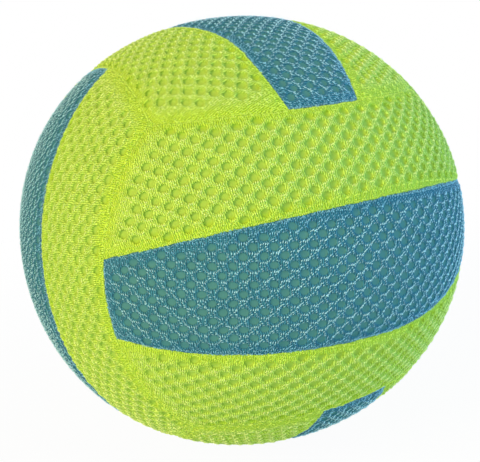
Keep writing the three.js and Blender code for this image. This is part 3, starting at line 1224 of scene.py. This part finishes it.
    def lay_stitches(self, closed: Array) -> None:
        """Lays the stitches of the knots, along the struts between them and across the seams.

        Args:
            closed: the middles of the diamonds without a hole.
        """
        _, knots = self.net_points()
        knotted = self.knot_stitches(np.concatenate([knots, closed]))
        stitches = np.concatenate([knotted, self.strut_stitches(knots), self.seam_stitches()])
        count = len(stitches)
        places = stitches[:, :2] + self.chance.normal(0, self.place_spread, (count, 2))
        angles = stitches[:, 2] + self.chance.normal(0, self.angle_spread, count)
        lengths = stitches[:, 3] * self.chance.uniform(*self.length_shares, count)
        kept = self.chance.random(count) < self.cloth.stitch_kept
        half = np.column_stack([np.cos(angles), np.sin(angles)]) * lengths[:, None] / 2
        starts, stops = places - half, places + half
        for side in (starts, stops):
            kept &= self.clearance(side) > -self.overhang
        ends = [self.add_face_points(side[kept], stitches[kept, 4]) for side in (starts, stops)]
        self.net.threads.extend(zip(*ends))
        self.net.glint_shares.extend(stitches[kept, 5])

    def lean_shares(self, knots: Array) -> Array:
        """Gives which way the rows of painted glints lead at some knots: 1 rising, -1 falling."""
        along = knots[:, 0] * self.cloth.pitch_along / PARTS
        return self.lean_way * np.clip((along - self.lean_place) / self.lean_fade, -1, 1)

    def knot_stitches(self, knots: Array) -> Array:
        """Gives the stitches of the knots.

        Args:
            knots: the knots, in parts of a pitch.

        Returns:
            Rows of place along, place across, angle, length, lift and lightness, which paints the filament's
            glint.
        """
        headings = self.headings(knots)
        spread = rotated(KNOT[:, :2], headings) * self.cloth.knot_spread * MM
        places = self.lattice(knots)[:, None, :] + spread
        angle, length, lift, pale = KNOT[:, 2:].T
        turn = np.where(angle > STEEP, -1, 1) * self.cloth.knot_turn * self.lean_shares(knots)[:, None]
        rest = np.broadcast_arrays(headings[:, None] + np.radians(angle + turn), length * MM, lift * MM, pale)
        return np.concatenate([places, np.stack(rest, axis=-1)], axis=-1).reshape(-1, 6)

    def strut_stitches(self, knots: Array) -> Array:
        """Gives slanting stitches along the struts.

        Args:
            knots: the knots, in parts of a pitch.

        Returns:
            Rows as for the knots.
        """
        rows = []
        for side in (1, -1):
            slope = math.atan2(side * self.cloth.pitch_across, self.cloth.pitch_along)
            # Stitches on the diagonal where the rows lead are lighter: a painted glint that changes along the
            # panel
            pale = self.cloth.strut_glint + side * self.cloth.glint_lean * self.lean_shares(knots)
            for share, slant in STRUT:
                places = self.lattice(knots + np.array([HALF_PITCH, HALF_PITCH * side]) * share)
                angles = self.headings(knots) + slope + math.radians(slant)
                rest = np.broadcast_arrays(angles, self.strut_stitch, self.low_lift, pale)
                rows.append(np.column_stack([places, *rest]))
        return np.concatenate(rows)

    def seam_stitches(self) -> Array:
        """Gives short stitches that cross the band beside the seams.

        Returns:
            Rows as for the knots.
        """
        inner, outer = map(self.border, self.seam_stitch_insets)
        rows = []
        for share in self.chance.uniform(0, 1, (self.seam_stitch_rows, len(inner), 1)):
            low, high = (loop + (np.roll(loop, -1, axis=0) - loop) * share for loop in (inner, outer))
            angles = np.arctan2(*(high - low).T[::-1])
            rest = np.broadcast_arrays(angles, self.seam_stitch, self.low_lift, self.seam_glint)
            rows.append(np.column_stack([(low + high) / 2, *rest]))
        return np.concatenate(rows)

    def free_points(self, cells: list[list[int]]) -> list[int]:
        """Adds points beside the seams, where the face rolls down, clear of the cells.

        Args:
            cells: the cells' points.

        Returns:
            The numbers of the new points.
        """
        outlines = [np.array([self.net.cloth[n] for n in cell]) for cell in cells]
        corners = np.concatenate(outlines)
        middles = np.array([outline.mean(axis=0) for outline in outlines])
        numbers = []
        for inset in self.edge_insets:
            places = self.border(inset)
            if inset > self.sparse_from:
                places = places[::2]
            free = self.clearance(places) > self.edge_room
            for taken, room in ((corners, self.corner_room), (middles, self.middle_room)):
                away = np.hypot(*(places[:, None, :] - taken[None, :, :]).transpose(2, 0, 1)).min(axis=1)
                free &= away > room
            numbers += self.add_face_points(places[free])
        return numbers

    def cut_bore(self) -> list[list[int]]:
        """Adds the wall of the valve's hole, where the panel has one.

        Returns:
            The wall's loops of points from the face to the back.
        """
        if not self.bore_radius:
            return []
        steps = (*self.bore_lip, (1.0, self.back_depth))
        circles = ((self.circle(self.bore_radius * share), depth) for share, depth in steps)
        loops = [self.net.add_points(circle, depth) for circle, depth in circles]
        self.net.join_loops(loops)
        return loops

    def back_points(self) -> list[int]:
        """Adds points inside the back layer.

        Returns:
            The numbers of the points.
        """
        columns, rows = (np.arange(-reach, reach, self.back_step) for reach in self.back_reach)
        grid = np.array([(x, y) for x in columns for y in rows])
        inside = self.clearance(grid) > self.hem_width + self.back_margin
        return self.net.add_points(grid[inside], self.back_depth)

    def cut(self) -> None:
        """Cuts the closed net: cells, plain cloth beside the seams, hem and back, with the stitches."""
        net = self.net
        bands = [self.add_face_points(self.border(inset)) for inset in self.band_insets]
        net.join_loops(bands)
        cells, closed = self.knit_cells()
        bore = self.cut_bore()
        net.fill(bands[-1], [*cells, *bore[:1]], self.free_points(cells))
        foot = bands[0]
        hem = [(0.0, 0.5 * self.hem_depth), (0.0, self.hem_depth), (self.hem_width, self.hem_depth)]
        for inset, depth in (*hem, (self.hem_width, self.back_depth)):
            lower = net.add_points(self.border(inset), depth)
            net.join_loops([lower, foot])
            foot = lower
        net.fill(foot, bore[-1:], self.back_points(), flip=True)
        self.lay_stitches(closed)

    def attributes(self, places: Array) -> dict[str, tuple[str, str, Array]]:
        """Works out the attributes that the knitting and the finishes read.

        Args:
            places: the net's points on the flat cloth.

        Returns:
            Kind, domain and values of each attribute, by name.
        """
        net = self.net
        thread = np.zeros(len(places), bool)
        thread[np.array(net.threads).ravel()] = True
        # The stitches' lightness, which the yarn's material paints as a glint
        pale = np.zeros(len(places))
        pale[np.array(net.threads)] = np.array(net.glint_shares)[:, None]
        grains = np.array([grain or (0.0, 0.0) for grain in net.grains])
        middles = np.array([places[list(face)].mean(axis=0) for face in net.faces])
        level = np.zeros(len(middles))
        ahead = self.laid(middles + grains * MM, level)
        return {
            "sink": ("FLOAT", "POINT", np.zeros(len(places))),
            "edge": ("FLOAT", "POINT", np.minimum(*self.edge_distances(places))),
            "thread": ("BOOLEAN", "POINT", thread),
            "pale": ("FLOAT", "POINT", pale),
            "hole": ("BOOLEAN", "FACE", np.array([grain is not None for grain in net.grains])),
            "grain": ("FLOAT_VECTOR", "FACE", (ahead - self.laid(middles, level)) / MM),
        }

    def build(self) -> Piece:
        """Makes the net an object on the ball.

        Returns:
            The object, not yet knitted.
        """
        self.cut()
        places, depths = np.array(self.net.cloth), np.array(self.net.depth)
        mesh = bpy.data.meshes.new(self.name)
        mesh.from_pydata(self.laid(places, depths).tolist(), self.net.threads, self.net.faces)
        for name, (kind, domain, values) in self.attributes(places).items():
            key = "vector" if kind == "FLOAT_VECTOR" else "value"
            mesh.attributes.new(name, kind, domain).data.foreach_set(key, values.ravel())
        return placed(self.name + "_cloth", mesh)


@dataclass(frozen=True)
class Look:
    """One colour of the cover: its knit, its cloth and its yarn."""

    knit: MeshCloth
    cloth: KnitFinish
    yarn: StitchFinish


@dataclass
class Cover:
    """The eighteen panels."""

    ball: BallShape
    valve_hole: float = 5.5 * MM
    first_seed: int = 12
    lime: Look = Look(
        MeshCloth(
            pitch_along=7.8 * MM, pitch_across=6.6 * MM, hole_along=1.76 * MM, hole_across=1.58 * MM,
            stitch_width=0.4 * MM, hole_depth=1.15 * MM, strut_glint=0.25, knot_spread=1.0, glint_lean=0.3,
            knot_turn=30.0, closed_end=3 * MM,
        ),
        KnitFinish("lime_mesh", (201, 228, 97), (136, 168, 42), (163, 190, 72), (1.0, 1.0, 0.5), relief=0.62),
        StitchFinish("lime_yarn", (243, 254, 152), (164, 200, 66), (0.9, 0.97, 0.4)),
    )
    blue: Look = Look(
        MeshCloth(
            pitch_along=7.2 * MM, pitch_across=6.6 * MM, hole_along=1.78 * MM, hole_across=1.5 * MM,
            stitch_width=0.36 * MM, hole_depth=0.6 * MM, strut_glint=0.45, knot_spread=1.25, glint_lean=0.5,
            knot_turn=40.0, closed_end=0.0,
        ),
        KnitFinish("blue_mesh", (64, 133, 151), (24, 82, 100), (70, 126, 126), (0.8, 0.92, 1.0)),
        StitchFinish("blue_yarn", (196, 240, 248), (36, 102, 124), (0.5, 0.72, 0.88)),
    )

    def build(self) -> None:
        """Builds, knits and dresses every panel."""
        tree = KnitTree()
        materials = {
            look: {"Cloth": look.cloth.build(look.knit.hole_depth), "Yarn": look.yarn.build()}
            for look in (self.blue, self.lime)
        }
        places = [(group, strip) for group in Group for strip in Strip]
        for seed, (group, strip) in enumerate(places, self.first_seed):
            is_blue = strip is Strip.MIDDLE
            look = self.blue if is_blue else self.lime
            bore_radius = self.valve_hole if is_blue and group is Group.BACK else 0.0
            panel = Panel(self.ball, group, strip, look.knit, seed, bore_radius)
            piece = panel.build()
            axes = panel.cloth_axes
            values = {"Out": axes.out, "Run": axes.run, "Side": axes.side, "Ball Radius": self.ball.radius}
            tree.knit(piece, {**values, "Seed": seed, **materials[look], **look.knit.knit})
            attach(piece, BODY)
            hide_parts(panel.name)
            LOG.info("%s: %d faces", piece.name, len(piece.data.polygons))


@dataclass
class Valve:
    """Needle valve on +Y: a flanged housing whose collar fills the cover's hole, and its pressed-in core."""

    ball: BallShape
    collar_recess: float = 0.4 * MM
    length: float = 20 * MM
    wall: float = 2.6 * MM
    core_radius: float = 2.3 * MM
    core_recess: float = 0.8 * MM
    core_foot: float = 0.5 * MM
    core_taper: float = 2.5 * MM
    core_tip: float = 0.6
    needle_radius: float = 0.9 * MM
    needle_depth: float = 12 * MM
    needle_lip: Pair = (0.5 * MM, 0.8 * MM)
    bead: float = 0.8 * MM
    bead_length: float = 3 * MM
    bead_share: float = 0.6
    clearance: float = 0.3 * MM
    flange_radius: float = 14 * MM
    flange_thickness: float = 1.6 * MM
    flange_rim: float = 0.4
    flange_foot: Pair = (1.5 * MM, 0.6 * MM)
    # Radii of the collar's fine groove from its outer to its inner edge, and its depth
    groove: tuple[float, ...] = (4.35 * MM, 4.2 * MM, 3.8 * MM, 3.65 * MM)
    groove_depth: float = 0.25 * MM
    mouth: Pair = (0.5 * MM, 0.6 * MM)
    barrel_taper: Pair = (0.8 * MM, 1.5 * MM)
    bladder_depth: float = 7.633 * MM
    rounding: float = 0.4 * MM
    rounded_share: float = 0.4
    round_steps: int = 4
    sides: int = 64
    same_place: float = 0.001 * MM

    def __post_init__(self) -> None:
        """Works out the places along the axis that both pieces share."""
        cover_top = float(self.ball.radius * self.ball.fullness(np.array([[0.0, 1.0, 0.0]]))[0])
        self.bladder_top = cover_top - self.bladder_depth
        self.collar_top = cover_top - self.collar_recess
        self.end = self.collar_top - self.length
        self.bead_middle = self.collar_top - self.bead_share * self.length
        self.bore = self.core_radius + self.clearance
        self.barrel = self.bore + self.wall

    def bladder_drop(self, radius: float) -> float:
        """Gives how far the bladder's face falls away at a radius from the axis."""
        return self.bladder_top - math.sqrt(self.bladder_top**2 - radius**2)

    def housing_outline(self) -> Array:
        """Draws the housing's closed outline.

        Returns:
            Rows of radius and place along the axis.
        """
        foot = self.bladder_top + self.clearance
        top = foot + self.flange_thickness
        rim, root = self.bladder_drop(self.flange_radius), self.bladder_drop(self.barrel + self.clearance)
        half, deep = self.bead_length / 2 + self.clearance, self.bore + self.bead
        bore, barrel, flange, middle = self.bore, self.barrel, self.flange_radius, self.bead_middle
        outer, outer_floor, inner_floor, inner = self.groove
        floor = self.collar_top - self.groove_depth
        return np.array([
            (bore, self.end), (barrel - self.barrel_taper[0], self.end),
            (barrel, self.end + self.barrel_taper[1]), (barrel, foot - root), (flange, foot - rim),
            (flange, foot - rim + self.flange_rim * self.flange_thickness),
            (barrel + self.flange_foot[0], top - root), (barrel, top + self.flange_foot[1]),
            (barrel, self.collar_top), (outer, self.collar_top), (outer_floor, floor), (inner_floor, floor),
            (inner, self.collar_top), (bore + self.mouth[0], self.collar_top),
            (bore, self.collar_top - self.mouth[1]), (bore, middle + half + self.bead),
            (deep, middle + half), (deep, middle - half), (bore, middle - half - self.bead),
        ])

    def core_outline(self) -> Array:
        """Draws the core's outline from its inner end to the floor of its needle hole, both on the axis.

        Returns:
            Rows of radius and place along the axis.
        """
        foot, top = self.end + self.core_foot, self.collar_top - self.core_recess
        half, thick = self.bead_length / 2, self.core_radius + self.bead
        core, needle, middle = self.core_radius, self.needle_radius, self.bead_middle
        return np.array([
            (0.0, foot), (self.core_tip * core, foot), (core, self.end + self.core_taper),
            (core, middle - half - self.bead), (thick, middle - half), (thick, middle + half),
            (core, middle + half + self.bead), (core, top), (needle + self.needle_lip[0], top),
            (needle, top - self.needle_lip[1]), (needle, top - self.needle_depth),
            (0.0, top - self.needle_depth - needle),
        ])

    def rounded(self, outline: Array, closed: bool) -> Array:
        """Rounds the corners of an outline.

        Args:
            outline: the corners.
            closed: whether the outline runs back to its first corner.

        Returns:
            More points, with a curve at each rounded corner.
        """
        points = []
        for number, corner in enumerate(outline):
            if not closed and number in (0, len(outline) - 1):
                points.append(corner)
                continue
            before, after = outline[number - 1] - corner, outline[(number + 1) % len(outline)] - corner
            first, second = np.hypot(*before), np.hypot(*after)
            cut = min(self.rounding, self.rounded_share * first, self.rounded_share * second)
            start, stop = corner + before * cut / first, corner + after * cut / second
            for share in np.linspace(0, 1, self.round_steps + 1):
                points.append((1 - share) ** 2 * start + 2 * share * (1 - share) * corner + share**2 * stop)
        return np.array(points)

    def turned(self, name: str, outline: Array, closed: bool) -> Piece:
        """Turns an outline about the valve's axis.

        Args:
            name: the object's name.
            outline: rows of radius and place along the axis.
            closed: whether the outline runs back to its first point.

        Returns:
            The closed object with its faces outwards.
        """
        shape = bmesh.new()
        turns = [2 * math.pi * k / self.sides for k in range(self.sides)]
        rings = [[shape.verts.new((r * math.cos(t), y, r * math.sin(t))) for t in turns] for r, y in outline]
        pairs = list(zip(rings, rings[1:]))
        if closed:
            pairs.append((rings[-1], rings[0]))
        for low, high in pairs:
            for k in range(self.sides):
                n = (k + 1) % self.sides
                shape.faces.new((low[k], low[n], high[n], high[k])).smooth = True
        bmesh.ops.remove_doubles(shape, verts=shape.verts, dist=self.same_place)
        bmesh.ops.recalc_face_normals(shape, faces=shape.faces)
        mesh = bpy.data.meshes.new(name)
        shape.to_mesh(mesh)
        shape.free()
        return placed(name, mesh)

    def build(self) -> None:
        """Builds and dresses the housing and the core."""
        housing = RubberFinish("housing_rubber", (28, 28, 30), (44, 44, 46), 0.7)
        core = RubberFinish("core_rubber", (52, 52, 58), (66, 66, 72), 0.5)
        pieces = {
            "valve_housing": (self.housing_outline(), True, housing.name, housing),
            "valve_core": (self.core_outline(), False, core.name, core),
        }
        for node, (outline, closed, slot, finish) in pieces.items():
            piece = self.turned(node + "_moulding", self.rounded(outline, closed), closed)
            piece.data.materials.append(finish.build())
            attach(piece, BODY)
            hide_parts(node)
            LOG.info("%s: %d faces", piece.name, len(piece.data.polygons))


@dataclass
class Bladder:
    """The air bladder: the CAD shell in its own rubber."""

    finish: RubberFinish = RubberFinish("bladder_rubber", (42, 42, 44), (58, 58, 60), 0.6)

    def dress(self) -> None:
        """Gives the bladder its rubber."""
        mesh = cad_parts["bladder"].data
        mesh.materials.clear()
        mesh.materials.append(self.finish.build())
        LOG.info("bladder: %d faces", len(mesh.polygons))


@dataclass(frozen=True)
class Lamp:
    """A square soft lamp that faces the ball: width in metres, power in watts, linear colour."""

    name: str
    place: Triple
    width: float
    power: float
    colour: Triple

    def build(self) -> None:
        """Adds the lamp."""
        data = bpy.data.lights.new(self.name, "AREA")
        data.size = self.width
        data.energy = self.power
        data.color = self.colour
        lamp = placed(self.name, data)
        lamp.location = self.place
        lamp.rotation_euler = Vector(self.place).to_track_quat("Z", "Y").to_euler()


@dataclass
class Studio:
    """Floor, backdrop, lamps and the camera at the photograph's angle.

    The camera's distance is in radii of the ball, its lens and the ball's centre in the photograph's pixels.
    """

    PHOTO_WIDTH = 480
    PHOTO_HEIGHT = 462
    LAMPS = (
        Lamp("key", (-1.3, -0.5, 0.9), 0.6, 12.5, (1.0, 0.84, 0.36)),
        Lamp("fill", (1.4, -0.7, 0.5), 1.2, 24.0, (0.09, 0.5, 1.0)),
        Lamp("front", (-0.7, -1.25, 0.1), 0.6, 8.8, (0.7, 1.0, 0.84)),
        Lamp("left", (-1.3, -0.5, 0.8), 0.8, 7.0, (1.0, 0.45, 0.35)),
    )

    ball: BallShape
    distance: float = 3.12
    lens: float = 648.545
    centre: Pair = (240.68, 227.72)
    azimuth: float = math.radians(-25.35)
    elevation: float = math.radians(13.04)
    roll: float = math.radians(-6.61)
    sensor_width: float = 36.0
    nearest: float = 0.01
    floor_half_width: float = 6.0
    floor_colour: tuple[float, ...] = (0.76, 0.84, 0.86, 1.0)
    # The floor is this much short of pure white under the ball, and white from the far end of the span on
    shadow_share: float = 0.04
    shadow_span: Pair = (0.1, 0.6)
    sky_colour: tuple[float, ...] = (0.9, 0.97, 1.0, 1.0)
    sky_strength: float = 0.375

    def camera(self) -> None:
        """Makes the camera."""
        data = bpy.data.cameras.new("camera")
        data.sensor_width = self.sensor_width
        data.sensor_fit = "HORIZONTAL"
        data.lens = self.lens / self.PHOTO_WIDTH * data.sensor_width
        data.shift_x = 0.5 - self.centre[0] / self.PHOTO_WIDTH
        data.shift_y = self.centre[1] / self.PHOTO_WIDTH - self.PHOTO_HEIGHT / self.PHOTO_WIDTH / 2
        data.clip_start = self.nearest
        level = math.cos(self.elevation)
        east, north = math.sin(self.azimuth) * level, -math.cos(self.azimuth) * level
        back = Vector((east, north, math.sin(self.elevation)))
        right = Vector((0, 0, 1)).cross(back).normalized()
        up = back.cross(right)
        turned_right = math.cos(self.roll) * right + math.sin(self.roll) * up
        turned_up = math.cos(self.roll) * up - math.sin(self.roll) * right
        axes = Matrix((turned_right, turned_up, back)).transposed().to_4x4()
        camera = placed("camera", data)
        camera.matrix_world = Matrix.Translation(back * self.distance * self.ball.radius) @ axes
        bpy.context.scene.camera = camera

    def white_where_seen(self, graph: NodeGraph) -> Socket:
        """Tells the rays that show a surface from those that only light the ball.

        Args:
            graph: the material's or the world's graph.

        Returns:
            1 for rays from the camera and for reflections, and 0 for the rest.
        """
        path = graph.add("ShaderNodeLightPath").outputs
        seen = graph.math("MAXIMUM", path["Is Camera Ray"], path["Is Glossy Ray"])
        return graph.math("MAXIMUM", seen, path["Is Transmission Ray"])

    def floor(self) -> None:
        """Makes the white floor, which keeps the ball's soft shadow."""
        half, level = self.floor_half_width, -self.ball.rest_height
        mesh = bpy.data.meshes.new("floor")
        corners = [(half * x, half * y, level) for x, y in ((-1, -1), (1, -1), (1, 1), (-1, 1))]
        mesh.from_pydata(corners, [], [(0, 1, 2, 3)])
        material = bpy.data.materials.new("floor_paper")
        material.use_nodes = True
        graph = NodeGraph(material.node_tree)
        paper = graph.get("ShaderNodeBsdfDiffuse", {"Color": self.floor_colour})
        glow = graph.get("ShaderNodeEmission", {"Color": WHITE, "Strength": 1.0})
        away = graph.number("LENGTH", graph.get("ShaderNodeTexCoord", output="Object"))
        clear = graph.ramp(away, *self.shadow_span)
        whiteness = graph.math("MULTIPLY_ADD", clear, self.shadow_share, 1 - self.shadow_share)
        share = graph.product(self.white_where_seen(graph), whiteness)
        mixed = graph.get("ShaderNodeMixShader", {"Fac": share, "Shader": paper, "Shader_001": glow})
        graph.add("ShaderNodeOutputMaterial", {"Surface": mixed})
        mesh.materials.append(material)
        floor = placed("floor", mesh)

    def world(self) -> None:
        """Makes the pale surroundings."""
        world = bpy.data.worlds.new("studio")
        world.use_nodes = True
        graph = NodeGraph(world.node_tree)
        seen = graph.get("ShaderNodeBackground", {"Color": WHITE, "Strength": 1.0})
        light = graph.get("ShaderNodeBackground", {"Color": self.sky_colour, "Strength": self.sky_strength})
        share = self.white_where_seen(graph)
        mixed = graph.get("ShaderNodeMixShader", {"Fac": share, "Shader": light, "Shader_001": seen})
        graph.add("ShaderNodeOutputWorld", {"Surface": mixed})
        bpy.context.scene.world = world

    def build(self) -> None:
        """Sets the whole studio up."""
        self.camera()
        self.floor()
        self.world()
        for lamp in self.LAMPS:
            lamp.build()
        bpy.context.scene.view_settings.view_transform = "Standard"


def main() -> None:
    """Sets up the studio and builds the cover, the valve and the bladder."""
    logging.basicConfig(level=logging.INFO, format="%(name)s: %(message)s")
    ball = BallShape.from_box(CAD_BOX)
    Studio(ball).build()
    Cover(ball).build()
    Valve(ball).build()
    Bladder().dress()


if __name__ == "__main__":
    main()
